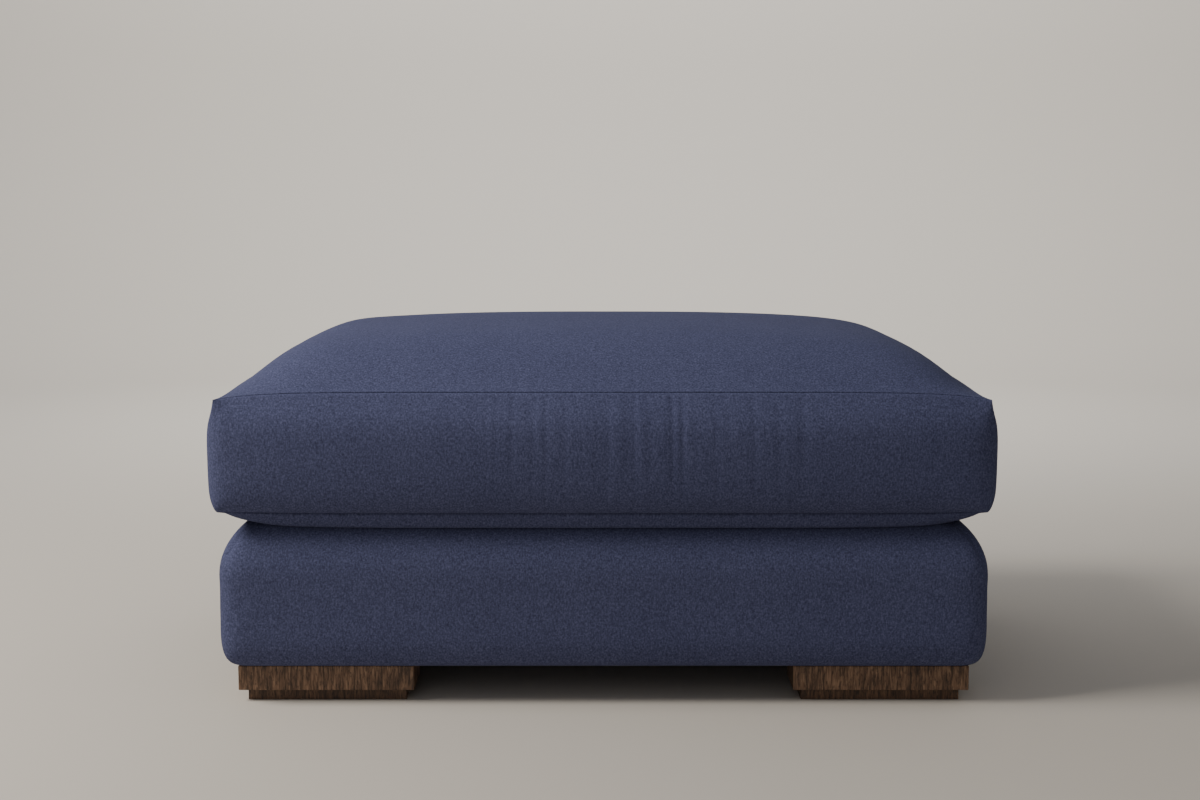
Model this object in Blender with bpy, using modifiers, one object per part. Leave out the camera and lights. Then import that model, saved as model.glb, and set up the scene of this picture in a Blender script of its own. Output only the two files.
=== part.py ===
"""An upholstered footstool: a loose boxed seat cushion on a padded base, on low walnut block feet.

Metres, +Z up. The floor is z = 0, the origin is the middle of the footprint and the front faces -Y.
"""

import math

import bmesh
import bpy
from mathutils import Vector

# Base: a padded box with soft edges
BASE_LENGTH = 1.000
BASE_DEPTH = 0.680
BASE_UNDERSIDE = 0.0483
DECK_HEIGHT = 0.245
DECK_EDGE_IN = 0.067
DECK_EDGE_DOWN = 0.0765
LOWER_EDGE_IN = 0.024
LOWER_EDGE_UP = 0.050
BASE_CORNER_RADIUS = 0.028
BASE_CORNER_GROWTH = 0.5

# Cushion: its seams run between four pulled corner points
CORNER_SET_IN = 0.0034
SEAM_PULL_IN = 0.008
SEAM_PULL_LENGTH = 0.020
TOP_SEAM_AT_CORNER = 0.4014
TOP_SEAM_RISE = 0.0062
BOTTOM_SEAM_AT_CORNER = 0.2578
BOTTOM_SEAM_DROP = 0.0067
CORNER_EASE_LENGTH = 0.065

# Cushion: the crown of its top panel
CROWN_RISE = 0.065
CROWN_DOME = 0.011
CROWN_EDGE_POWER = 8.0
CROWN_EDGE_EASE = 1.13

# Cushion: the boxing band swells out between the seams
BAND_BULGE = 0.014
BAND_BELLY = 0.003
BAND_CORNER_RADIUS = 0.030
BAND_LOW_BIAS = 1.357
BAND_FULLNESS = 3.5

# Cushion: the bottom panel rolls under, then lies on the deck
ROLL_DEPTH = 0.0221
ROLL_WIDTH = 0.010
DECK_CLEARANCE = 0.0003
EDGE_CLEARANCE = 0.0025
CLEARANCE_EASE = 0.020
UNDERSIDE_BLEND = 0.003

# Feet: a wide block on a thinner, set-back plinth, one under each corner
FOOT_SET_IN = 0.0216
BLOCK_LENGTH = 0.230
BLOCK_DEPTH = 0.080
BLOCK_UNDERSIDE = 0.0152
BLOCK_BEVEL = 0.0010
PLINTH_SET_IN = 0.011
PLINTH_BEVEL = 0.0006
SEAT_GAP = 0.0003

# Mesh cells along the length, depth and height
CUSHION_CELLS = (40, 28, 9)
BASE_CELLS = (24, 18, 13)
BASE_LOWER_ROWS = 4
BASE_WALL_ROWS = 3
BASE_UPPER_ROWS = 6
SURFACE_MARGIN = 1e-6

NAVY_CLOTH = (0.040, 0.046, 0.083, 1.0)
WALNUT = (0.062, 0.038, 0.023, 1.0)

half_length = BASE_LENGTH / 2
half_depth = BASE_DEPTH / 2
seam_half_length = half_length - CORNER_SET_IN
seam_half_depth = half_depth - CORNER_SET_IN


def clear_scene():
    for item in list(bpy.data.objects):
        bpy.data.objects.remove(item, do_unlink=True)


def make_material(name, colour, roughness):
    material = bpy.data.materials.new(name)
    material.use_nodes = True
    shader = material.node_tree.nodes["Principled BSDF"]
    shader.inputs["Base Color"].default_value = colour
    shader.inputs["Roughness"].default_value = roughness
    shader.inputs["Metallic"].default_value = 0.0
    return material


def settle(distance, length):
    """Grows from 0 at the edge to 1 further in, as cloth does away from a pulled corner."""
    return 1.0 - math.exp(-distance / length)


def rounded_outline(u, v, half_x, half_y, radius):
    """A point of a rounded rectangle, and its normal, for (u, v) on the rim of the unit square."""
    along_x = abs(v) >= abs(u)
    share, half_run, half_cross = (abs(u), half_x, half_y) if along_x else (abs(v), half_y, half_x)
    from_corner = (1.0 - share) * half_run
    arc_run = radius * math.pi / 4
    if from_corner < arc_run:
        angle = math.pi / 4 * (1.0 - from_corner / arc_run)
        run = half_run - radius + radius * math.sin(angle)
        cross = half_cross - radius + radius * math.cos(angle)
    else:
        angle = 0.0
        run = (half_run - radius) * (half_run - from_corner) / (half_run - arc_run)
        cross = half_cross
    place = Vector((run, cross)) if along_x else Vector((cross, run))
    normal = Vector((math.sin(angle), math.cos(angle)))
    if not along_x:
        normal = normal.yx
    signs = Vector((math.copysign(1.0, u), math.copysign(1.0, v)))
    return place * signs, normal * signs


def base_profile(w):
    """Inset and height of the base's side at w, from -1 at the underside to 1 at the deck."""
    row = (w + 1.0) / 2.0 * (BASE_LOWER_ROWS + BASE_WALL_ROWS + BASE_UPPER_ROWS)
    wall_low = BASE_UNDERSIDE + LOWER_EDGE_UP
    wall_high = DECK_HEIGHT - DECK_EDGE_DOWN
    if row < BASE_LOWER_ROWS:
        angle = math.pi / 2 * row / BASE_LOWER_ROWS
        inset = LOWER_EDGE_IN * (1.0 - math.sin(angle))
        return inset, wall_low - LOWER_EDGE_UP * math.cos(angle)
    if row < BASE_LOWER_ROWS + BASE_WALL_ROWS:
        share = (row - BASE_LOWER_ROWS) / BASE_WALL_ROWS
        return 0.0, wall_low + share * (wall_high - wall_low)
    angle = math.pi / 2 * (row - BASE_LOWER_ROWS - BASE_WALL_ROWS) / BASE_UPPER_ROWS
    return DECK_EDGE_IN * (1.0 - math.cos(angle)), wall_high + DECK_EDGE_DOWN * math.sin(angle)


def base_point(u, v, w):
    """The base's surface: rounded rings up its side, drawn together across its flat deck and underside."""
    rim = max(abs(u), abs(v))
    inset, height = base_profile(w)
    if rim == 0.0:
        return Vector((0.0, 0.0, height))
    radius = BASE_CORNER_RADIUS + BASE_CORNER_GROWTH * inset
    place, _ = rounded_outline(u / rim, v / rim, half_length - inset, half_depth - inset, radius)
    return Vector((place.x * rim, place.y * rim, height))


def deck_edge_height(inset):
    """Height of the base's top where it is cut this far in from its side."""
    if inset >= DECK_EDGE_IN:
        return DECK_HEIGHT
    share = min(1.0, 1.0 - inset / DECK_EDGE_IN)
    return DECK_HEIGHT - DECK_EDGE_DOWN * (1.0 - math.sqrt(1.0 - share * share))


def cushion_crown(u, v):
    """How far the top panel stands above its seams."""

    def edge_rise(distance):
        share = min(1.0, distance / seam_half_length)
        return (1.0 - (1.0 - share) ** CROWN_EDGE_POWER) ** CROWN_EDGE_EASE

    rise = edge_rise((1.0 - abs(u)) * seam_half_length) * edge_rise((1.0 - abs(v)) * seam_half_depth)
    return CROWN_RISE * rise + CROWN_DOME * (1.0 - u * u) * (1.0 - v * v)


def cushion_underside(x, y, side_distance, end_distance, seam_height):
    """The bottom panel: it rolls under from the seam, and follows the base's edge up to the deck."""

    def roll(distance):
        short = max(0.0, 1.0 - distance / ROLL_WIDTH)
        return 1.0 - short * short

    corner_distance = math.hypot(side_distance, end_distance)
    depth = ROLL_DEPTH * roll(side_distance) * roll(end_distance)
    rolled = seam_height - depth * settle(corner_distance, CORNER_EASE_LENGTH)
    inset = min(half_length - abs(x), half_depth - abs(y))
    lift = min(1.0, max(0.0, (DECK_EDGE_IN + CLEARANCE_EASE / 2 - inset) / CLEARANCE_EASE))
    rests = deck_edge_height(max(0.0, inset)) + DECK_CLEARANCE + (EDGE_CLEARANCE - DECK_CLEARANCE) * lift
    return (rolled + rests + math.hypot(rolled - rests, UNDERSIDE_BLEND)) / 2.0


def cushion_point(u, v, w):
    """The cushion's surface, from a point of the unit cube."""
    side_distance = (1.0 - abs(u)) * seam_half_length
    end_distance = (1.0 - abs(v)) * seam_half_depth
    corner = settle(math.hypot(side_distance, end_distance), CORNER_EASE_LENGTH)
    top_seam = TOP_SEAM_AT_CORNER + TOP_SEAM_RISE * corner
    bottom_seam = BOTTOM_SEAM_AT_CORNER - BOTTOM_SEAM_DROP * corner
    if abs(w) == 1.0:
        x = u * (seam_half_length - SEAM_PULL_IN * settle(end_distance, SEAM_PULL_LENGTH))
        y = v * (seam_half_depth - SEAM_PULL_IN * settle(side_distance, SEAM_PULL_LENGTH))
        if w > 0.0:
            return Vector((x, y, top_seam + cushion_crown(u, v)))
        return Vector((x, y, cushion_underside(x, y, side_distance, end_distance, bottom_seam)))
    down = (1.0 - w) / 2.0
    swell = 1.0 - abs(2.0 * down ** BAND_LOW_BIAS - 1.0) ** BAND_FULLNESS
    place, normal = rounded_outline(
        u,
        v,
        seam_half_length + BAND_BULGE * swell,
        seam_half_depth + BAND_BULGE * swell,
        BAND_CORNER_RADIUS * math.sqrt(swell),
    )
    pull = settle(max(side_distance, end_distance), SEAM_PULL_LENGTH)
    place += normal * pull * (BAND_BELLY * swell - SEAM_PULL_IN * (1.0 - swell))
    return Vector((place.x, place.y, top_seam + (bottom_seam - top_seam) * down))


def make_soft_solid(name, cells, shape, material):
    """A cube cut into cells and shaped by a rule, with its cells closer together near its edges."""
    mesh = bpy.data.meshes.new(name)
    work = bmesh.new()
    bmesh.ops.create_cube(work, size=2.0)
    for axis, count in enumerate(cells):
        across = [e for e in work.edges if abs(e.verts[0].co[axis] - e.verts[1].co[axis]) > 1.0]
        bmesh.ops.subdivide_edges(work, edges=across, cuts=count - 1, use_grid_fill=True)
    for vertex in work.verts:
        u, v = (math.sin(value * math.pi / 2) for value in vertex.co.xy)
        on_panel = abs(vertex.co.z) > 1.0 - SURFACE_MARGIN
        w = math.copysign(1.0, vertex.co.z) if on_panel else vertex.co.z
        vertex.co = shape(u, v, w)
    bmesh.ops.recalc_face_normals(work, faces=work.faces)
    work.to_mesh(mesh)
    work.free()
    mesh.shade_smooth()
    mesh.materials.append(material)
    solid = bpy.data.objects.new(name, mesh)
    collection.objects.link(solid)
    return solid


def make_block(name, low, high, bevel, material):
    """A plain wooden block with lightly broken edges."""
    mesh = bpy.data.meshes.new(name)
    work = bmesh.new()
    bmesh.ops.create_cube(work, size=1.0)
    bmesh.ops.scale(work, vec=Vector(high) - Vector(low), verts=work.verts)
    work.to_mesh(mesh)
    work.free()
    mesh.materials.append(material)
    block = bpy.data.objects.new(name, mesh)
    block.location = (Vector(low) + Vector(high)) / 2
    edge = block.modifiers.new("broken edges", "BEVEL")
    edge.width = bevel
    edge.segments = 1
    edge.limit_method = "ANGLE"
    collection.objects.link(block)
    return block


def make_feet(material):
    """Each foot is a block under the base's corner, on a plinth set back all round."""
    outer_x = half_length - FOOT_SET_IN
    outer_y = half_depth - FOOT_SET_IN
    for side_name, side in (("left", -1.0), ("right", 1.0)):
        for end_name, end in (("front", -1.0), ("back", 1.0)):
            x_range = sorted((side * outer_x, side * (outer_x - BLOCK_LENGTH)))
            y_range = sorted((end * outer_y, end * (outer_y - BLOCK_DEPTH)))
            make_block(
                f"foot_block_{end_name}_{side_name}",
                (x_range[0], y_range[0], BLOCK_UNDERSIDE),
                (x_range[1], y_range[1], BASE_UNDERSIDE - SEAT_GAP),
                BLOCK_BEVEL,
                material,
            )
            make_block(
                f"foot_plinth_{end_name}_{side_name}",
                (x_range[0] + PLINTH_SET_IN, y_range[0] + PLINTH_SET_IN, 0.0),
                (x_range[1] - PLINTH_SET_IN, y_range[1] - PLINTH_SET_IN, BLOCK_UNDERSIDE - SEAT_GAP),
                PLINTH_BEVEL,
                material,
            )


clear_scene()
collection = bpy.data.collections.new("footstool")
bpy.context.scene.collection.children.link(collection)
cloth = make_material("navy wool felt", NAVY_CLOTH, 0.92)
walnut = make_material("oiled walnut", WALNUT, 0.50)
make_soft_solid("seat_cushion", CUSHION_CELLS, cushion_point, cloth)
make_soft_solid("upholstered_base", BASE_CELLS, base_point, cloth)
make_feet(walnut)
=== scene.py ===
import math
import random

import bmesh
import bpy
from mathutils import Matrix, Vector


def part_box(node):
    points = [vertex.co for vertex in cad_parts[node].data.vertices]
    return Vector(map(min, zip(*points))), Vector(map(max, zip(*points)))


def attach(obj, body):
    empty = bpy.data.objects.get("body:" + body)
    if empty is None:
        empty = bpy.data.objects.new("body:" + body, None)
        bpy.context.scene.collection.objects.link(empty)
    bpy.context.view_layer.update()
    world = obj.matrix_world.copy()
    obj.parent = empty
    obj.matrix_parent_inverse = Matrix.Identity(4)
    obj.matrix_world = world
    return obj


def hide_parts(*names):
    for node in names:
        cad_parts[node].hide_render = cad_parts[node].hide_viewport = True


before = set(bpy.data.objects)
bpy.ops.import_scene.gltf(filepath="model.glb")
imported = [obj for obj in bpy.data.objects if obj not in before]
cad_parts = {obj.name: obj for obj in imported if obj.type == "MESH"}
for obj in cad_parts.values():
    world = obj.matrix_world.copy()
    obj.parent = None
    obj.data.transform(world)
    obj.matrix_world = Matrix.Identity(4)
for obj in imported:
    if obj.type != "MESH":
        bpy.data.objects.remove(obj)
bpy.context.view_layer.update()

# Plinths: the lower step of each foot, walnut set back 11 mm from the block above it, its colours painted
# darker than the block's as painted shade for the shade it sits in under the block.
# Sawn square from solid board, its edges just broken with sandpaper, and glued up under the block.
FOOT_CORNERS = ("front_left", "front_right", "back_left", "back_right")
PLINTH_EDGE = 0.0008
# Walnut colours darker than the block's: painted shade under the overhanging block, not a stain
PLINTH_DARK = "#2F2016"
PLINTH_MID = "#533A28"
PLINTH_LIGHT = "#72543C"


def linear(code):
    """The linear RGBA of an sRGB hex colour."""
    parts = [int(code[start:start + 2], 16) / 255 for start in (1, 3, 5)]
    return tuple(p / 12.92 if p <= 0.04045 else ((p + 0.055) / 1.055) ** 2.4 for p in parts) + (1.0,)


def add_node(material, kind, settings=None, inputs=None):
    """Adds a node with its settings. Each input takes a value, or the output that feeds it."""
    node = material.node_tree.nodes.new(kind)
    for name, value in (settings or {}).items():
        setattr(node, name, value)
    for name, value in (inputs or {}).items():
        if isinstance(value, bpy.types.NodeSocket):
            material.node_tree.links.new(value, node.inputs[name])
        else:
            node.inputs[name].default_value = value
    return node


def set_ramp(ramp_node, stops):
    """Gives a colour ramp its stops, as (place, hex colour)."""
    elements = ramp_node.color_ramp.elements
    while len(elements) < len(stops):
        elements.new(0.5)
    for element, (place, code) in zip(elements, stops):
        element.position = place
        element.color = linear(code)


def oiled_walnut(name, dark, mid, light):
    """Walnut, sanded and oiled: upright grain in fine brown streaks, short dark pores, a low satin gloss."""
    material = bpy.data.materials.new(name)
    material.use_nodes = True
    place = add_node(material, "ShaderNodeTexCoord").outputs["Object"]

    # Growth-ring streaks 2 to 4 mm apart, which run some 33 mm along the grain
    streaks = add_node(material, "ShaderNodeMapping", None, {0: place, "Scale": (280.0, 280.0, 30.0)})
    streak_noise = add_node(
        material,
        "ShaderNodeTexNoise",
        None,
        {0: streaks.outputs[0], "Scale": 1.0, "Detail": 2.0, "Roughness": 0.8},
    )
    # Broad figure, bands about 35 mm wide
    figure = add_node(material, "ShaderNodeMapping", None, {0: place, "Scale": (28.0, 28.0, 3.0)})
    figure_noise = add_node(
        material, "ShaderNodeTexNoise", None, {0: figure.outputs[0], "Scale": 1.0, "Detail": 2.0}
    )
    # Pores: real ones are 0.2 mm wide, drawn 2 mm wide and 6 mm long so that they show
    pores = add_node(material, "ShaderNodeMapping", None, {0: place, "Scale": (520.0, 520.0, 160.0)})
    pore_noise = add_node(
        material, "ShaderNodeTexNoise", None, {0: pores.outputs[0], "Scale": 1.0, "Detail": 1.0}
    )

    blend = add_node(
        material,
        "ShaderNodeMix",
        {"data_type": "FLOAT"},
        {0: 0.22, 2: streak_noise.outputs[0], 3: figure_noise.outputs[0]},
    )
    wood = add_node(material, "ShaderNodeValToRGB", None, {0: blend.outputs[0]})
    set_ramp(wood, ((0.36, dark), (0.50, mid), (0.63, light)))
    pore_mask = add_node(
        material,
        "ShaderNodeMapRange",
        None,
        {0: pore_noise.outputs[0], "From Min": 0.52, "From Max": 0.68, "To Min": 0.0, "To Max": 0.55},
    )
    colour = add_node(
        material,
        "ShaderNodeMix",
        {"data_type": "RGBA", "blend_type": "MULTIPLY"},
        {0: pore_mask.outputs[0], 6: wood.outputs[0], 7: linear("#3A2A20")},
    )
    relief = add_node(
        material,
        "ShaderNodeMath",
        {"operation": "SUBTRACT"},
        {0: streak_noise.outputs[0], 1: pore_mask.outputs[0]},
    )
    bump = add_node(
        material, "ShaderNodeBump", None, {"Strength": 0.5, "Distance": 0.0003, "Height": relief.outputs[0]}
    )
    gloss = add_node(
        material,
        "ShaderNodeMapRange",
        None,
        {0: streak_noise.outputs[0], "From Min": 0.3, "From Max": 0.7, "To Min": 0.58, "To Max": 0.44},
    )
    shader = material.node_tree.nodes["Principled BSDF"]
    shader.inputs["IOR"].default_value = 1.5
    material.node_tree.links.new(colour.outputs[2], shader.inputs["Base Color"])
    material.node_tree.links.new(gloss.outputs[0], shader.inputs["Roughness"])
    material.node_tree.links.new(bump.outputs[0], shader.inputs["Normal"])
    return material


def saw_board(name, low, high, edge, material):
    """A board cut to fill a box, with its edges rounded over a little."""
    bpy.ops.object.select_all(action="DESELECT")
    bpy.ops.mesh.primitive_cube_add(size=1.0, location=(low + high) / 2)
    board = bpy.context.object
    board.name = name
    board.data.name = name
    board.scale = high - low
    bpy.ops.object.transform_apply(location=True, rotation=True, scale=True)
    bpy.ops.object.mode_set(mode="EDIT")
    bpy.ops.mesh.select_all(action="SELECT")
    bpy.ops.mesh.bevel(offset=edge, segments=3, affect="EDGES")
    bpy.ops.object.mode_set(mode="OBJECT")
    bpy.ops.object.shade_smooth()
    even = board.modifiers.new("even shading", "WEIGHTED_NORMAL")
    even.weight = 100
    bpy.ops.object.modifier_apply(modifier=even.name)
    board.data.materials.append(material)
    return board


def copy_board(board, name, offset):
    """The same board again, with a mesh of its own, set elsewhere."""
    twin = board.copy()
    twin.data = board.data.copy()
    twin.name = name
    twin.data.name = name
    twin.data.transform(Matrix.Translation(offset))
    bpy.context.collection.objects.link(twin)
    return twin


# The plinth walnut: the blocks' walnut in darker colours, as painted shade under the blocks
plinth_walnut_painted_shade = oiled_walnut("walnut_with_painted_shade", PLINTH_DARK, PLINTH_MID, PLINTH_LIGHT)
first_low, first_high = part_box("foot_plinth_front_left")
first_plinth = saw_board("plinth_front_left", first_low, first_high, PLINTH_EDGE, plinth_walnut_painted_shade)
for corner in FOOT_CORNERS:
    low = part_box(f"foot_plinth_{corner}")[0]
    plinth = first_plinth
    if corner != "front_left":
        plinth = copy_board(first_plinth, f"plinth_{corner}", low - first_low)
    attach(plinth, "root")
    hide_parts(f"foot_plinth_{corner}")

# Blocks: the wide upper part of each foot, solid walnut with its grain upright, 230 x 80 x 33 mm.
# Sawn square, sanded and oiled, then screwed up into the frame of the base.
BLOCK_EDGE = 0.0013
WALNUT_DARK = "#38271A"
WALNUT_MID = "#654A36"
WALNUT_LIGHT = "#8C6D53"

block_walnut = oiled_walnut("oiled_walnut", WALNUT_DARK, WALNUT_MID, WALNUT_LIGHT)
first_low, first_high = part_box("foot_block_front_left")
first_block = saw_board("block_front_left", first_low, first_high, BLOCK_EDGE, block_walnut)
for corner in FOOT_CORNERS:
    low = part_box(f"foot_block_{corner}")[0]
    block = first_block
    if corner != "front_left":
        block = copy_board(first_block, f"block_{corner}", low - first_low)
    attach(block, "root")
    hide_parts(f"foot_block_{corner}")

# Base: a timber box wrapped in foam and wadding, covered in one piece of navy wool felt pulled over
# its soft edges and stapled underneath. The deck on top is flat, where the cushion lies.
BASE_LENGTH = 1.003
BASE_DEPTH = 0.680
BASE_UNDERSIDE = 0.0483
DECK_HEIGHT = 0.245
DECK_EDGE_IN = 0.067
DECK_EDGE_DOWN = 0.0765
LOWER_EDGE_IN = 0.022
LOWER_EDGE_UP = 0.050
BASE_CORNER_RADIUS = 0.028
# How much the corners' radius grows for each metre that the edge curls in
UPPER_CORNER_GROWTH = 0.25
LOWER_CORNER_GROWTH = -0.4
# Fullness of the two edges' curves: 2 is an ellipse, and more is squarer
LOWER_EDGE_POWER = 2.8
UPPER_EDGE_POWER = 2.06
# Fold of the cover at each corner of the deck's edge
PLEAT_DEPTH = 0.0050
PLEAT_WIDTH = 0.0040
PLEAT_FROM = 0.001
PLEAT_EASE_LENGTH = 0.008
BASE_LOWER_ROWS = 8
BASE_WALL_ROWS = 8
BASE_UPPER_ROWS = 10
BASE_CELLS = (64, 44, BASE_LOWER_ROWS + BASE_WALL_ROWS + BASE_UPPER_ROWS)
MOST_CELLS_AT_ONCE = 100
# An edge of the 2 m box that is longer than this isn't cut into its cells yet
UNCUT_LENGTH = 0.9
SWELL_STEPS = 20
HELD_EDGE_POWER = 8
FELT_DARK = "#383B53"
FELT_NAVY = "#4A4E6B"
FELT_LIGHT = "#5E6384"

half_length = BASE_LENGTH / 2
half_depth = BASE_DEPTH / 2


def wool_felt(name):
    """Wool felt, woven then brushed: matt, finely heathered, its nap pale where it is seen edge on."""
    material = bpy.data.materials.new(name)
    material.use_nodes = True
    place = add_node(material, "ShaderNodeTexCoord").outputs["Object"]

    # Yarns are about 1.4 mm thick: their slubs are drawn 1.8 mm thick and 3 mm long so that they show
    warp_lie = add_node(material, "ShaderNodeMapping", None, {0: place, "Scale": (520.0, 520.0, 290.0)})
    warp = add_node(
        material, "ShaderNodeTexNoise", None, {0: warp_lie.outputs[0], "Scale": 1.0, "Detail": 0.0}
    )
    weft_lie = add_node(material, "ShaderNodeMapping", None, {0: place, "Scale": (340.0, 340.0, 560.0)})
    weft = add_node(
        material, "ShaderNodeTexNoise", None, {0: weft_lie.outputs[0], "Scale": 1.0, "Detail": 0.0}
    )
    # Loose fibres in the nap: real ones are 0.03 mm thick, drawn 1 mm thick so that they show
    fibres = add_node(material, "ShaderNodeTexNoise", None, {0: place, "Scale": 820.0, "Detail": 0.0})
    # Brushed nap lies a little unevenly, in patches about 120 mm across
    patches = add_node(material, "ShaderNodeTexNoise", None, {0: place, "Scale": 8.0, "Detail": 2.0})
    yarns = add_node(
        material, "ShaderNodeMix", {"data_type": "FLOAT"}, {0: 0.35, 2: warp.outputs[0], 3: weft.outputs[0]}
    )
    surface = add_node(
        material,
        "ShaderNodeMix",
        {"data_type": "FLOAT"},
        {0: 0.25, 2: yarns.outputs[0], 3: fibres.outputs[0]},
    )
    heather = add_node(material, "ShaderNodeValToRGB", None, {0: surface.outputs[0]})
    set_ramp(heather, ((0.23, FELT_DARK), (0.50, FELT_NAVY), (0.77, FELT_LIGHT)))
    patch_shade = add_node(
        material,
        "ShaderNodeMapRange",
        None,
        {0: patches.outputs[0], "From Min": 0.3, "From Max": 0.7, "To Min": 0.0, "To Max": 0.10},
    )
    colour = add_node(
        material,
        "ShaderNodeMix",
        {"data_type": "RGBA", "blend_type": "MULTIPLY"},
        {0: patch_shade.outputs[0], 6: heather.outputs[0], 7: linear("#A6A9B8")},
    )
    bump = add_node(
        material, "ShaderNodeBump", None, {"Strength": 0.5, "Distance": 0.0006, "Height": surface.outputs[0]}
    )
    shader = material.node_tree.nodes["Principled BSDF"]
    shader.inputs["Roughness"].default_value = 0.95
    shader.inputs["IOR"].default_value = 1.45
    shader.inputs["Specular IOR Level"].default_value = 0.04
    shader.inputs["Sheen Weight"].default_value = 0.04
    shader.inputs["Sheen Roughness"].default_value = 0.45
    shader.inputs["Sheen Tint"].default_value = linear("#9AA6CC")
    material.node_tree.links.new(colour.outputs[2], shader.inputs["Base Color"])
    material.node_tree.links.new(bump.outputs[0], shader.inputs["Normal"])
    return material


def rounded_outline(u, v, half_x, half_y, radius):
    """A point of a rounded rectangle, and its normal, for (u, v) on the rim of the unit square."""
    along_x = abs(v) >= abs(u)
    share, half_run, half_cross = (abs(u), half_x, half_y) if along_x else (abs(v), half_y, half_x)
    from_corner = (1.0 - share) * half_run
    arc_run = radius * math.pi / 4
    if from_corner < arc_run:
        angle = math.pi / 4 * (1.0 - from_corner / arc_run)
        run = half_run - radius + radius * math.sin(angle)
        cross = half_cross - radius + radius * math.cos(angle)
    else:
        angle = 0.0
        run = (half_run - radius) * (half_run - from_corner) / (half_run - arc_run)
        cross = half_cross
    place = Vector((run, cross)) if along_x else Vector((cross, run))
    normal = Vector((math.sin(angle), math.cos(angle)))
    if not along_x:
        normal = normal.yx
    signs = Vector((math.copysign(1.0, u), math.copysign(1.0, v)))
    return place * signs, normal * signs


def cut_cover(name, cells):
    """A closed box of cloth in cells, still 2 m a side. Subdivide makes about 100 cells at most, so a side
    that has more is halved first, and their number is even."""
    bpy.ops.object.select_all(action="DESELECT")
    bpy.ops.mesh.primitive_cube_add(size=2.0, location=(0.0, 0.0, 0.0))
    cover = bpy.context.object
    cover.name = name
    cover.data.name = name
    bpy.ops.object.mode_set(mode="EDIT")
    bpy.context.tool_settings.mesh_select_mode = (False, True, False)
    for axis, count in enumerate(cells):
        for pieces in ((2, count // 2) if count > MOST_CELLS_AT_ONCE else (count,)):
            bpy.ops.mesh.select_all(action="DESELECT")
            work = bmesh.from_edit_mesh(cover.data)
            for edge in work.edges:
                edge.select_set(abs(edge.verts[0].co[axis] - edge.verts[1].co[axis]) > UNCUT_LENGTH)
            bmesh.update_edit_mesh(cover.data)
            bpy.ops.mesh.subdivide(number_cuts=pieces - 1)
    bpy.ops.object.mode_set(mode="OBJECT")
    return cover


def swell(cover, freedom, pressure, slack, stiffness, most):
    """Cloth simulation of a stuffed cover, held where its freedom is 0. It starts a little small and swells,
    and no point ends up further than most from where it was cut."""
    limits = [most * free for free in freedom]
    as_cut = [vertex.co.copy() for vertex in cover.data.vertices]
    outward = [vertex.normal.copy() for vertex in cover.data.vertices]
    for vertex, normal, limit in zip(cover.data.vertices, outward, limits):
        vertex.co -= normal * limit
    group = cover.vertex_groups.new(name="held")
    group.add([index for index, free in enumerate(freedom) if free == 0.0], 1.0, "REPLACE")
    cloth = cover.modifiers.new("stuffing", "CLOTH")
    settings = cloth.settings
    settings.quality = 6
    settings.mass = 0.3
    settings.tension_stiffness = stiffness
    settings.compression_stiffness = stiffness
    settings.shear_stiffness = stiffness / 3
    settings.bending_stiffness = 2.0
    settings.air_damping = 4.0
    settings.use_pressure = True
    settings.uniform_pressure_force = pressure
    settings.shrink_min = -slack
    settings.vertex_group_mass = group.name
    settings.effector_weights.gravity = 0.0
    cloth.collision_settings.use_collision = False
    cloth.point_cache.frame_start = 1
    cloth.point_cache.frame_end = SWELL_STEPS
    for step in range(1, SWELL_STEPS + 1):
        bpy.context.scene.frame_set(step)
    bpy.context.view_layer.objects.active = cover
    bpy.ops.object.modifier_apply(modifier=cloth.name)
    bpy.context.scene.frame_set(1)
    for vertex, cut, limit in zip(cover.data.vertices, as_cut, limits):
        move = vertex.co - cut
        if move.length > limit:
            vertex.co = cut + move * (limit / move.length)
    cover.vertex_groups.clear()


def finish_cover(cover, cloth):
    """Gives a cover its cloth, smooth shading and one subdivision."""
    cover.data.materials.append(cloth)
    bpy.ops.object.select_all(action="DESELECT")
    bpy.context.view_layer.objects.active = cover
    cover.select_set(True)
    bpy.ops.object.shade_smooth()
    smooth = cover.modifiers.new("smooth cloth", "SUBSURF")
    smooth.levels = 1
    smooth.render_levels = 1
    bpy.ops.object.modifier_apply(modifier=smooth.name)


def base_profile(w):
    """Inset and height of the base's side at w, from -1 at the underside to 1 at the deck."""
    row = (w + 1.0) / 2.0 * (BASE_LOWER_ROWS + BASE_WALL_ROWS + BASE_UPPER_ROWS)
    wall_low = BASE_UNDERSIDE + LOWER_EDGE_UP
    wall_high = DECK_HEIGHT - DECK_EDGE_DOWN
    if row < BASE_LOWER_ROWS:
        angle = math.pi / 2 * row / BASE_LOWER_ROWS
        inward = 1.0 - math.sin(angle) ** (2.0 / LOWER_EDGE_POWER)
        downward = math.cos(angle) ** (2.0 / LOWER_EDGE_POWER)
        return LOWER_EDGE_IN * inward, wall_low - LOWER_EDGE_UP * downward
    if row < BASE_LOWER_ROWS + BASE_WALL_ROWS:
        return 0.0, wall_low + (row - BASE_LOWER_ROWS) / BASE_WALL_ROWS * (wall_high - wall_low)
    angle = math.pi / 2 * (row - BASE_LOWER_ROWS - BASE_WALL_ROWS) / BASE_UPPER_ROWS
    inward = 1.0 - math.cos(angle) ** (2.0 / UPPER_EDGE_POWER)
    upward = math.sin(angle) ** (2.0 / UPPER_EDGE_POWER)
    return DECK_EDGE_IN * inward, wall_high + DECK_EDGE_DOWN * upward


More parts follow.
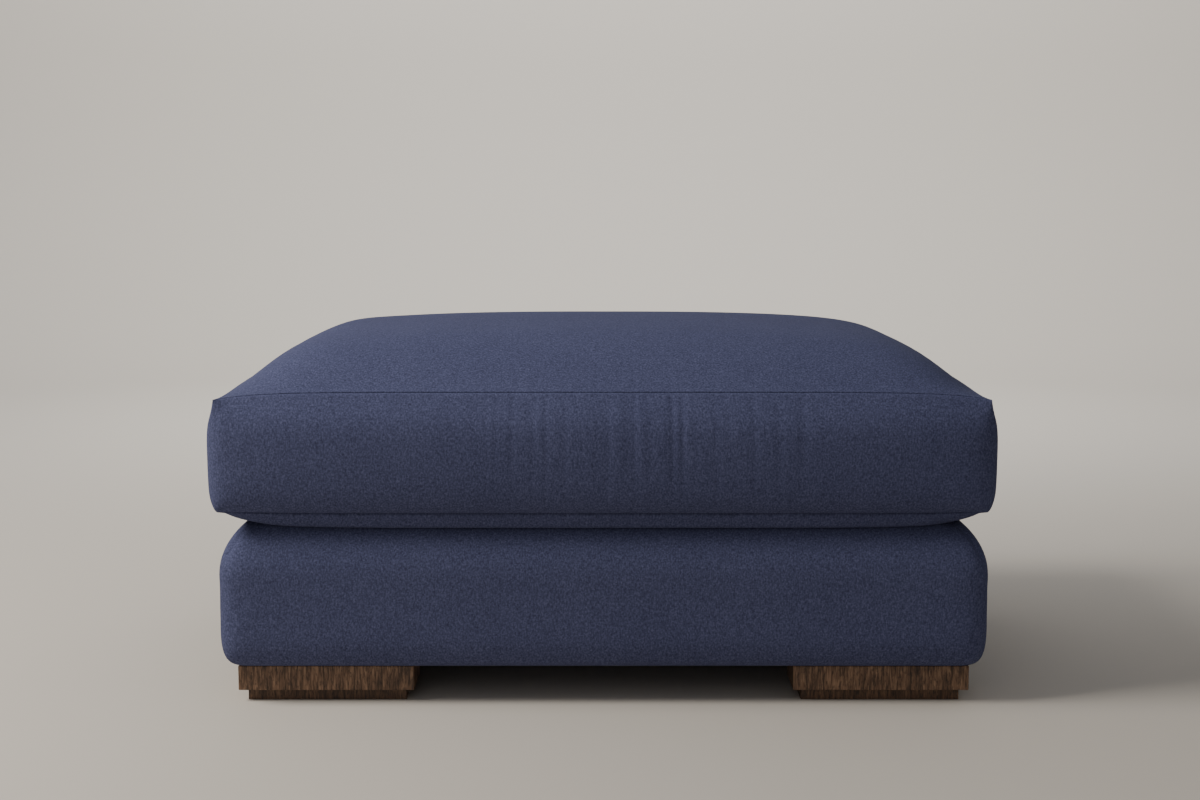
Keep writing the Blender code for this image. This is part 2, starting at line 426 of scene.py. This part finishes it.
def base_point(u, v, w):
    """The base's surface: rounded rings up its side, drawn together across its flat deck and underside."""
    rim = max(abs(u), abs(v))
    inset, height = base_profile(w)
    if rim == 0.0:
        return Vector((0.0, 0.0, height))
    growth = UPPER_CORNER_GROWTH if w > 0.0 else LOWER_CORNER_GROWTH
    radius = BASE_CORNER_RADIUS + growth * inset
    place, normal = rounded_outline(u / rim, v / rim, half_length - inset, half_depth - inset, radius)
    # The cloth is folded into a pleat where it turns each corner of the deck's edge
    from_mitre = (1.0 - abs(u / rim)) * half_length + (1.0 - abs(v / rim)) * half_depth
    over_edge = min(1.0, max(0.0, inset - PLEAT_FROM) / PLEAT_EASE_LENGTH) if w > 0.0 else 0.0
    place -= normal * PLEAT_DEPTH * over_edge * math.exp(-((from_mitre / PLEAT_WIDTH) ** 2))
    return Vector((place.x * rim, place.y * rim, height))


felt = wool_felt("navy_wool_felt")
base = cut_cover("base_cover", BASE_CELLS)
base_grid = []
for vertex in base.data.vertices:
    u, v = (math.sin(value * math.pi / 2) for value in vertex.co.xy)
    base_grid.append((u, v, vertex.co.z))
    vertex.co = base_point(u, v, vertex.co.z)
base.data.update()
base_freedom = [1.0 - w**HELD_EDGE_POWER for u, v, w in base_grid]
swell(base, base_freedom, pressure=10.0, slack=0.0, stiffness=40.0, most=0.0010)
finish_cover(base, felt)
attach(base, "root")
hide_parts("upholstered_base")

# Cushion: a loose boxed seat cushion, a top and a bottom panel of navy wool felt sewn to a band with a
# plain seam, filled firm. Its seams draw in between four pulled corner points, and the band swells.
CORNER_SET_IN = 0.0036
CUSHION_OFF_CENTRE = -0.0017
# Seams: they draw in, and rise or drop, away from the corners
SEAM_PULL_IN = 0.008
SEAM_PULL_LENGTH = 0.020
TOP_SEAM_AT_CORNER = 0.4004
TOP_SEAM_RISE = 0.0094
BOTTOM_SEAM_AT_CORNER = 0.2541
BOTTOM_SEAM_DROP = 0.0030
CORNER_EASE_LENGTH = 0.050
END_EASE_STRETCH = 3.0
# Crown of the top panel, with a slightly higher shoulder on the left
CROWN_RISE = 0.0487
CROWN_DOME = 0.0277
CROWN_DOME_POWER = 2.87
CROWN_EDGE_POWER = 11.7
CROWN_EDGE_EASE = 1.67
LEFT_SHOULDER_RISE = 0.0030
LEFT_SHOULDER_PLACE = -0.79
LEFT_SHOULDER_WIDTH = 0.11
# Band: it swells out between the seams
BAND_BULGE = 0.0114
BAND_BELLY = 0.0080
BAND_BELLY_EASE = 0.090
BAND_CORNER_RADIUS = 0.030
BAND_LOW_BIAS = 1.357
BAND_FULLNESS = 6.5
# Bottom panel: it rolls under, clears the base's edge, then lies on the deck
ROLL_DEPTH = 0.0300
ROLL_WIDTH = 0.0180
ROLL_POWER = 2.0
ROLL_CORNER_POWER = 1.4
DECK_CLEARANCE = 0.0003
EDGE_CLEARANCE = 0.0010
CLEARANCE_EASE = 0.020
UNDERSIDE_BLEND = 0.001
# Distances of the close rows of cells beside each seam
CLOSE_ROWS = (0.0, 0.0004, 0.0012, 0.0026, 0.0045, 0.0080, 0.0150, 0.0250)
# How far the sewn cloth stands out from the surface at each of those rows
TOP_BAND_RELIEF = (-0.0022, -0.0016, -0.0002, 0.0013, 0.0013, 0.0003, 0.0, 0.0)
TOP_PANEL_RELIEF = (-0.0022, -0.0009, 0.0002, 0.0003, 0.0, 0.0, 0.0, 0.0)
BOTTOM_BAND_RELIEF = (-0.0042, -0.0022, 0.0005, 0.0003, 0.0, 0.0, 0.0, 0.0)
BOTTOM_PANEL_RELIEF = (-0.0042, 0.0006, 0.0005, 0.0002, 0.0, 0.0, 0.0, 0.0)
RELIEF_EASE_LENGTH = 0.020
# The band's height along the cloth, from which its cell lines are spaced
BAND_HEIGHT = 0.130
BOTTOM_CORNER_RADIUS = 0.008
BOTTOM_CORNER_POWER = 4
# Puckers across the seam in the front band, as (place along it, depth)
FRONT_PUCKERS = (
    (-0.294, 0.0007), (-0.147, 0.0007), (-0.135, 0.0007), (-0.087, 0.0008), (-0.071, 0.0011),
    (-0.047, 0.0008), (-0.005, 0.0008), (0.041, 0.0010), (0.060, 0.0008), (0.088, 0.0013),
    (0.102, 0.0009), (0.144, 0.0008), (0.192, 0.0009), (0.222, 0.0006), (0.256, 0.0007),
)
PUCKER_WIDTH = 0.0029
PUCKER_LENGTH = 0.105
PUCKER_REACH = 0.012
PUCKER_AT_SEAM = 0.25
PUCKER_START = 0.008
# Slight puckers besides those: how many, the stretch they lie in, and the least and most depth
SLIGHT_FRONT_PUCKERS = (18, (-0.20, 0.26), (0.0003, 0.0010))
SLIGHT_BACK_PUCKERS = (12, (-0.36, 0.36), (0.0004, 0.0014))
SLIGHT_END_PUCKERS = (12, (-0.22, 0.22), (0.0004, 0.0014))
# Widths of the cushion's cells: along it they are fine between these two places, where the front is puckered
FINE_CELLS_FROM = -0.155
FINE_CELLS_TO = 0.262
FINE_CELL = 0.004
LEFT_CELL = 0.016
RIGHT_CELL = 0.015
DEPTH_CELL = 0.018
BAND_CELL = 0.0095
STUFFING_EASE_LENGTH = 0.03

seam_half_length = half_length - CORNER_SET_IN
seam_half_depth = half_depth - CORNER_SET_IN


def cell_lines(half_run, stretches):
    """Places of the cell lines from -1 to 1: close beside the seams, and even in each stretch between."""
    places = [distance - half_run for distance in CLOSE_ROWS]
    for end, size in stretches:
        run = end - places[-1]
        count = round(run / size)
        places += [places[-1] + run * step / count for step in range(1, count + 1)]
    places += [half_run - distance for distance in reversed(CLOSE_ROWS[:-1])]
    return [place / half_run for place in places]


def settle(distance, length):
    """Grows from 0 at the edge to 1 further in, as cloth does away from a pulled corner."""
    return 1.0 - math.exp(-distance / length)


def deck_edge_height(inset):
    """Height of the base's top where it is cut this far in from its side."""
    if inset >= DECK_EDGE_IN:
        return DECK_HEIGHT
    share = 1.0 - inset / DECK_EDGE_IN
    return DECK_HEIGHT - DECK_EDGE_DOWN * (1.0 - math.sqrt(1.0 - share * share))


def cushion_crown(u, v):
    """How far the top panel stands above its seams."""

    def edge_rise(distance):
        share = min(1.0, distance / seam_half_length)
        return (1.0 - (1.0 - share) ** CROWN_EDGE_POWER) ** CROWN_EDGE_EASE

    rise = edge_rise((1.0 - abs(u)) * seam_half_length) * edge_rise((1.0 - abs(v)) * seam_half_depth)
    shoulder = LEFT_SHOULDER_RISE * math.exp(-(((u - LEFT_SHOULDER_PLACE) / LEFT_SHOULDER_WIDTH) ** 2))
    return (CROWN_RISE + shoulder) * rise + CROWN_DOME * (1.0 - abs(u) ** CROWN_DOME_POWER) * (1.0 - v * v)


def cushion_underside(x, y, side_distance, end_distance, seam_height):
    """The bottom panel: it rolls under from the seam, and follows the base's edge up to the deck."""

    def roll(distance):
        short = max(0.0, 1.0 - distance / ROLL_WIDTH)
        return 1.0 - short**ROLL_POWER

    corner_distance = math.hypot(side_distance, end_distance)
    depth = ROLL_DEPTH * roll(side_distance) * roll(end_distance)
    rolled = seam_height - depth * settle(corner_distance, CORNER_EASE_LENGTH) ** ROLL_CORNER_POWER
    inset = min(half_length - abs(x), half_depth - abs(y))
    lift = min(1.0, max(0.0, (DECK_EDGE_IN + CLEARANCE_EASE / 2 - inset) / CLEARANCE_EASE))
    rests = deck_edge_height(max(0.0, inset)) + DECK_CLEARANCE + (EDGE_CLEARANCE - DECK_CLEARANCE) * lift
    return (rolled + rests + math.hypot(rolled - rests, UNDERSIDE_BLEND)) / 2.0


def cushion_point(u, v, w):
    """The cushion's surface, from a point of the unit cube."""
    side_distance = (1.0 - abs(u)) * seam_half_length
    end_distance = (1.0 - abs(v)) * seam_half_depth
    corner = settle(math.hypot(side_distance, end_distance / END_EASE_STRETCH), CORNER_EASE_LENGTH)
    top_seam = TOP_SEAM_AT_CORNER + TOP_SEAM_RISE * corner
    bottom_seam = BOTTOM_SEAM_AT_CORNER - BOTTOM_SEAM_DROP * corner
    if w == 1.0:
        x = u * (seam_half_length - SEAM_PULL_IN * settle(end_distance, SEAM_PULL_LENGTH))
        y = v * (seam_half_depth - SEAM_PULL_IN * settle(side_distance, SEAM_PULL_LENGTH))
        return Vector((x, y, top_seam + cushion_crown(u, v)))
    if w == -1.0:
        rim = max(abs(u), abs(v), 1e-6)
        place, normal = rounded_outline(
            u / rim, v / rim, seam_half_length, seam_half_depth, BOTTOM_CORNER_RADIUS
        )
        from_corner = max((1.0 - abs(u / rim)) * seam_half_length, (1.0 - abs(v / rim)) * seam_half_depth)
        x, y = (place - normal * SEAM_PULL_IN * settle(from_corner, SEAM_PULL_LENGTH)) * rim
        return Vector((x, y, cushion_underside(x, y, side_distance, end_distance, bottom_seam)))
    down = (1.0 - w) / 2.0
    fullness = 1.0 - abs(2.0 * down ** BAND_LOW_BIAS - 1.0) ** BAND_FULLNESS
    place, normal = rounded_outline(
        u,
        v,
        seam_half_length + BAND_BULGE * fullness,
        seam_half_depth + BAND_BULGE * fullness,
        math.hypot(BAND_CORNER_RADIUS * fullness, BOTTOM_CORNER_RADIUS * down**BOTTOM_CORNER_POWER),
    )
    from_corner = max(side_distance, end_distance)
    belly = BAND_BELLY * 4.0 * down * (1.0 - down) * settle(from_corner, BAND_BELLY_EASE)
    place += normal * (belly - SEAM_PULL_IN * (1.0 - fullness) * settle(from_corner, SEAM_PULL_LENGTH))
    return Vector((place.x, place.y, top_seam + (bottom_seam - top_seam) * down))


def relief_at(distance, relief):
    """The relief of a sewn edge at this distance from the seam."""
    for near, far, first, last in zip(CLOSE_ROWS, CLOSE_ROWS[1:], relief, relief[1:]):
        if distance < far:
            return first + (last - first) * (distance - near) / (far - near)
    return 0.0


def pucker_at(along, below, puckers):
    """How deep puckers draw the band in. Above the seam, where below is negative, they die out fast."""
    if below < 0.0:
        fade = PUCKER_AT_SEAM * math.exp(below / PUCKER_REACH)
    else:
        start = 1.0 - (1.0 - PUCKER_AT_SEAM) * math.exp(-below / PUCKER_START)
        fade = start * math.exp(-((below / PUCKER_LENGTH) ** 2))
    return fade * sum(
        depth * math.exp(-(((along - place) / PUCKER_WIDTH) ** 2)) for place, depth in puckers
    )


def sewn_relief(u, v, w, side_puckers):
    """How far a point of the cushion stands out for its seams and puckers."""
    side_distance = (1.0 - abs(u)) * seam_half_length
    end_distance = (1.0 - abs(v)) * seam_half_depth
    seam_distance = min(side_distance, end_distance)
    on_end = abs(v) < abs(u) and side_distance < end_distance
    along = v * seam_half_depth if on_end else u * seam_half_length
    puckers = side_puckers[("left" if u < 0 else "right") if on_end else ("front" if v < 0 else "back")]
    ease = settle(math.hypot(side_distance, end_distance), RELIEF_EASE_LENGTH)
    if w == 1.0:
        return ease * (relief_at(seam_distance, TOP_PANEL_RELIEF) - pucker_at(along, -seam_distance, puckers))
    if w == -1.0:
        return ease * relief_at(seam_distance, BOTTOM_PANEL_RELIEF)
    below, above = (1.0 - w) / 2.0 * BAND_HEIGHT, (1.0 + w) / 2.0 * BAND_HEIGHT
    relief = relief_at(below, TOP_BAND_RELIEF) + relief_at(above, BOTTOM_BAND_RELIEF)
    return ease * (relief - pucker_at(along, below, puckers))


draw = random.Random(11)
cushion_puckers = {"front": list(FRONT_PUCKERS), "back": [], "left": [], "right": []}
for side, (count, stretch, depths) in (
    ("front", SLIGHT_FRONT_PUCKERS),
    ("back", SLIGHT_BACK_PUCKERS),
    ("left", SLIGHT_END_PUCKERS),
    ("right", SLIGHT_END_PUCKERS),
):
    cushion_puckers[side] += [(draw.uniform(*stretch), draw.uniform(*depths)) for _ in range(count)]
last_close = CLOSE_ROWS[-1]
length_stretches = (
    (FINE_CELLS_FROM, LEFT_CELL),
    (FINE_CELLS_TO, FINE_CELL),
    (seam_half_length - last_close, RIGHT_CELL),
)
lines = (
    cell_lines(seam_half_length, length_stretches),
    cell_lines(seam_half_depth, ((seam_half_depth - last_close, DEPTH_CELL),)),
    cell_lines(BAND_HEIGHT / 2, ((BAND_HEIGHT / 2 - last_close, BAND_CELL),)),
)
cushion = cut_cover("seat_cushion_cover", [len(run) - 1 for run in lines])
cushion_grid = []
for vertex in cushion.data.vertices:
    cell = [round((vertex.co[axis] + 1.0) / 2.0 * (len(lines[axis]) - 1)) for axis in range(3)]
    cushion_grid.append(tuple(lines[axis][cell[axis]] for axis in range(3)))
    vertex.co = cushion_point(*cushion_grid[-1])
    vertex.co.x += CUSHION_OFF_CENTRE
cushion.data.update()
cushion_freedom = []
for u, v, w in cushion_grid:
    if w == 1.0:
        distance = min((1.0 - abs(u)) * seam_half_length, (1.0 - abs(v)) * seam_half_depth)
    else:
        distance = (1.0 - abs(w)) / 2.0 * BAND_HEIGHT
    cushion_freedom.append(settle(distance, STUFFING_EASE_LENGTH))
swell(cushion, cushion_freedom, pressure=5.0, slack=0.003, stiffness=40.0, most=0.0012)
cushion.data.update()
outward = [vertex.normal.copy() for vertex in cushion.data.vertices]
for vertex, normal, place in zip(cushion.data.vertices, outward, cushion_grid):
    vertex.co += normal * sewn_relief(*place, cushion_puckers)
finish_cover(cushion, felt)
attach(cushion, "root")
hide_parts("seat_cushion")

# Floor: a plain pale studio sweep, not part of the footstool. It lies flat for 4 m all round, then
# curves up, so that every view has the same quiet ground.
FLOOR_RADIUS = 4.0
SWEEP_RADIUS = 1.2
SWEEP_STEPS = 8
SWEEP_HEIGHT = 2.5

bpy.ops.object.select_all(action="DESELECT")
bpy.ops.mesh.primitive_circle_add(
    vertices=96, radius=FLOOR_RADIUS, fill_type="NGON", location=(0.0, 0.0, 0.0)
)
floor = bpy.context.object
floor.name = "studio_floor"
bpy.ops.object.mode_set(mode="EDIT")
bpy.context.tool_settings.mesh_select_mode = (False, True, False)
bpy.ops.mesh.select_all(action="SELECT")
radius, height = FLOOR_RADIUS, 0.0
for step in range(1, SWEEP_STEPS + 2):
    angle = math.pi / 2 * min(step, SWEEP_STEPS) / SWEEP_STEPS
    next_radius = FLOOR_RADIUS + SWEEP_RADIUS * math.sin(angle)
    next_height = SWEEP_RADIUS * (1.0 - math.cos(angle)) + (SWEEP_HEIGHT if step > SWEEP_STEPS else 0.0)
    bpy.ops.mesh.extrude_edges_move(TRANSFORM_OT_translate={"value": (0.0, 0.0, next_height - height)})
    growth = next_radius / radius
    bpy.ops.transform.resize(value=(growth, growth, 1.0), center_override=(0.0, 0.0, 0.0))
    radius, height = next_radius, next_height
bpy.ops.object.mode_set(mode="OBJECT")
bpy.ops.object.shade_smooth()
# Uncoated studio paper: matt, pale and a little warm
paper = bpy.data.materials.new("pale_paper")
paper.use_nodes = True
paper_shader = paper.node_tree.nodes["Principled BSDF"]
paper_shader.inputs["Base Color"].default_value = linear("#C6C1B9")
paper_shader.inputs["Roughness"].default_value = 0.9
paper_shader.inputs["Specular IOR Level"].default_value = 0.2
floor.data.materials.append(paper)

# Light: a big soft key high on the left and a little in front, a weak fill from the front, a softbox
# turned on the sweep behind, and a pale, even surround.
def add_softbox(name, place, aim, size, power, colour):
    """A square softbox that faces a point."""
    bpy.ops.object.light_add(type="AREA", location=place)
    box = bpy.context.object
    box.name = name
    box.rotation_euler = (Vector(aim) - Vector(place)).to_track_quat("-Z", "Y").to_euler()
    box.data.shape = "SQUARE"
    box.data.size = size
    box.data.energy = power
    box.data.color = linear(colour)[:3]
    box.visible_camera = False
    return box


add_softbox("key_softbox", (-2.15, -0.8, 2.22), (0.0, 0.0, 0.3), size=1.2, power=92.0, colour="#FFF8EE")
add_softbox("fill_softbox", (-0.6, -3.35, 1.3), (0.0, 0.0, 0.2), size=1.6, power=8.4, colour="#F6F6FC")
add_softbox("backdrop_softbox", (0.0, 2.4, 3.2), (0.0, 5.2, 0.9), size=2.5, power=160.0, colour="#FFFFFF")
surround = bpy.data.worlds.new("pale_surround")
surround.use_nodes = True
surround.node_tree.nodes["Background"].inputs["Color"].default_value = linear("#E6E8EE")
surround.node_tree.nodes["Background"].inputs["Strength"].default_value = 0.36
bpy.context.scene.world = surround

# Camera: it stands in front of the footstool, 2.67 m from its middle and 0.67 m up, and looks down
# 6.5 degrees. Fitted to the photograph's 1200 x 800 frame.
CAMERA_PLACE = (-0.0047, -2.672, 0.6665)
CAMERA_DOWN_DEGREES = 6.507
CAMERA_LENS = 55.23
CAMERA_SENSOR_WIDTH = 36.0

bpy.ops.object.camera_add(
    location=CAMERA_PLACE, rotation=(math.radians(90.0 - CAMERA_DOWN_DEGREES), 0.0, 0.0)
)
camera = bpy.context.object
camera.name = "camera"
camera.data.lens = CAMERA_LENS
camera.data.sensor_width = CAMERA_SENSOR_WIDTH
bpy.context.scene.camera = camera
